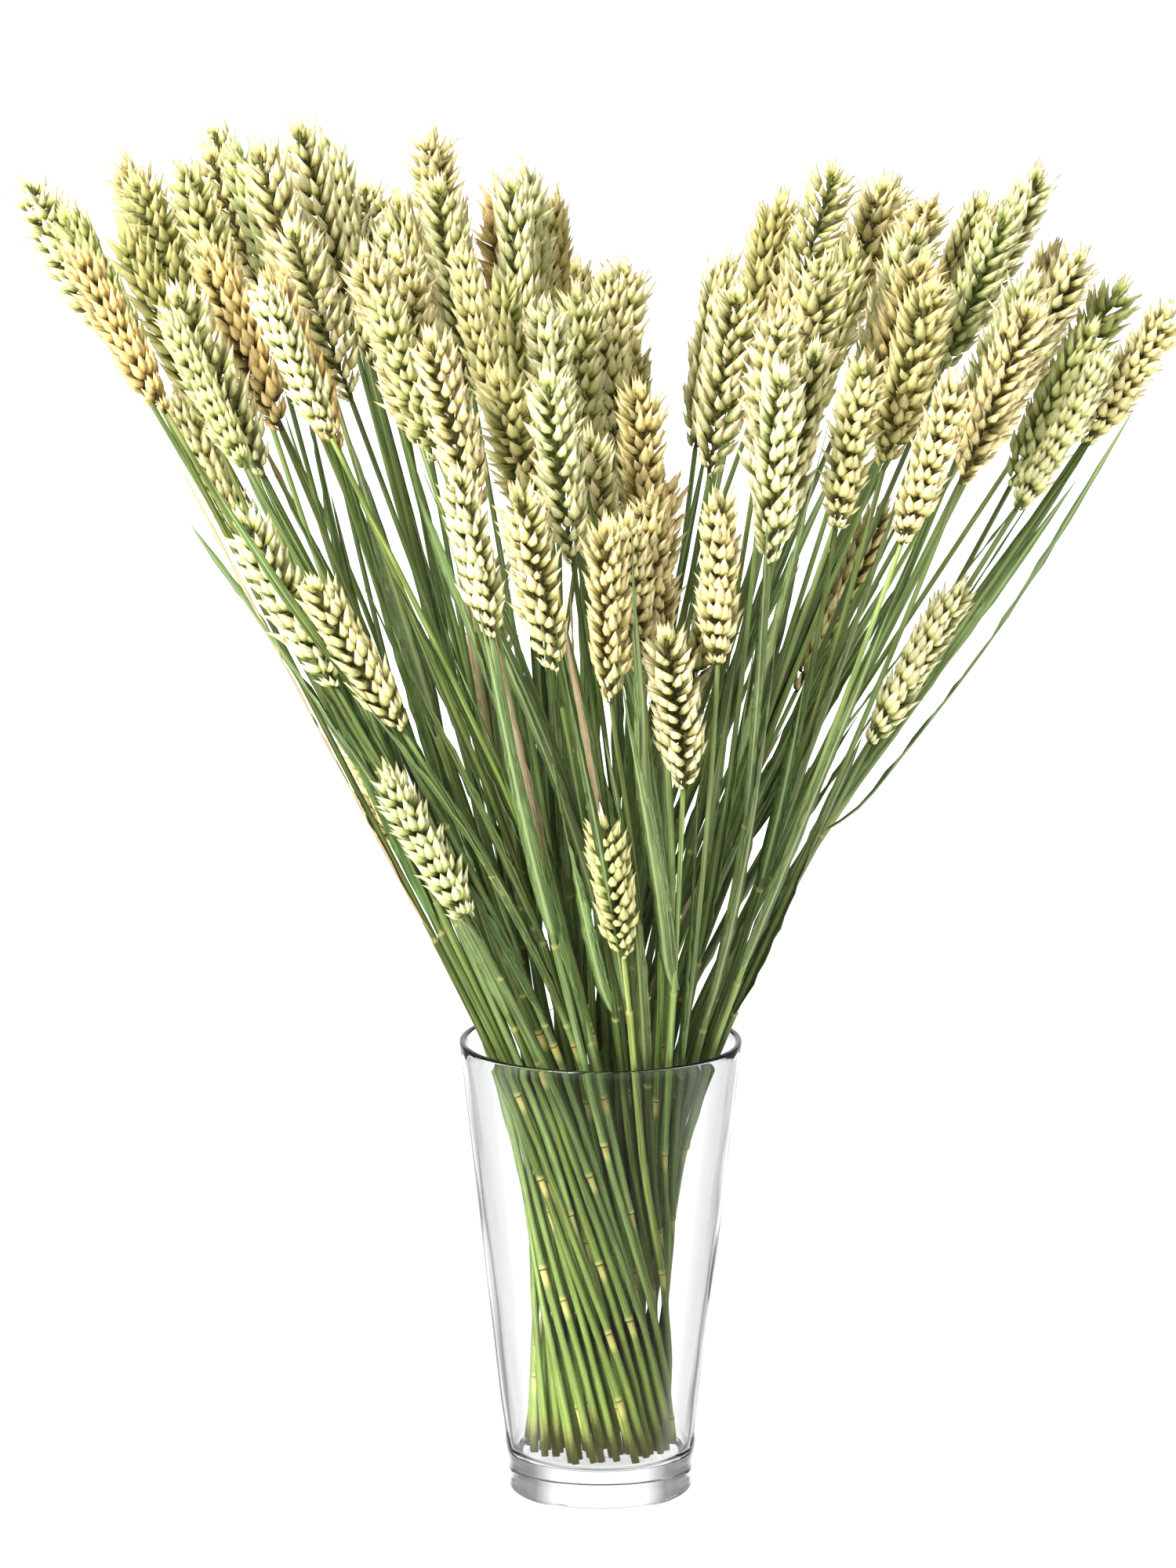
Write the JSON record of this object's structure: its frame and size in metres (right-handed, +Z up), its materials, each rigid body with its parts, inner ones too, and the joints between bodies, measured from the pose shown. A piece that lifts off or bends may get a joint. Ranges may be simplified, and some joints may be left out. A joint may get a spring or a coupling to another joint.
{
  "type": "bunch of wheat in a glass vase",
  "caption": "Full spiral bunch of awnless green-straw wheat, stems, leaves and ears, standing in a tall tapered vase of clear glass.",
  "frame": {"origin": "middle of the vase's flat underside, on the surface that it stands on", "axes": "+Z up along the vase's axis, +X to the right in the picture, -Y towards the viewer"},
  "size_m": [0.5929, 0.3974, 0.7162],
  "materials": {
    "clear_glass": "clear, polished",
    "wheat": "matt dry plant, green stems and straw-coloured ears"
  },
  "bodies": {
    "root": {"glass_vase": "clear_glass", "wheat_stalks_01": "wheat", "wheat_stalks_02": "wheat", "wheat_stalks_03": "wheat", "wheat_stalks_04": "wheat", "wheat_stalks_05": "wheat", "wheat_stalks_06": "wheat", "wheat_stalks_07": "wheat", "wheat_stalks_08": "wheat", "wheat_stalks_09": "wheat", "wheat_stalks_10": "wheat", "wheat_stalks_11": "wheat", "wheat_stalks_12": "wheat", "wheat_stalks_13": "wheat", "wheat_stalks_14": "wheat", "wheat_stalks_15": "wheat", "wheat_stalks_16": "wheat", "wheat_stalks_17": "wheat", "wheat_stalks_18": "wheat", "wheat_stalks_19": "wheat", "wheat_stalks_20": "wheat", "wheat_stalks_21": "wheat", "wheat_stalks_22": "wheat", "wheat_stalks_23": "wheat", "wheat_stalks_24": "wheat", "wheat_stalks_25": "wheat", "wheat_stalks_26": "wheat", "wheat_stalks_27": "wheat", "wheat_stalks_28": "wheat", "wheat_stalks_29": "wheat", "wheat_stalks_30": "wheat", "wheat_stalks_31": "wheat", "wheat_stalks_32": "wheat", "wheat_stalks_33": "wheat", "wheat_stalks_34": "wheat", "wheat_stalks_35": "wheat", "wheat_stalks_36": "wheat", "wheat_stalks_37": "wheat", "wheat_stalks_38": "wheat", "wheat_stalks_39": "wheat", "wheat_stalks_40": "wheat", "wheat_stalks_41": "wheat", "wheat_stalks_42": "wheat", "wheat_stalks_43": "wheat", "wheat_stalks_44": "wheat", "wheat_stalks_45": "wheat", "wheat_stalks_46": "wheat", "wheat_stalks_47": "wheat", "wheat_stalks_48": "wheat", "wheat_stalks_49": "wheat", "wheat_stalks_50": "wheat", "wheat_stalks_51": "wheat", "wheat_stalks_52": "wheat", "wheat_stalks_53": "wheat", "wheat_stalks_54": "wheat"}
  },
  "joints": []
}
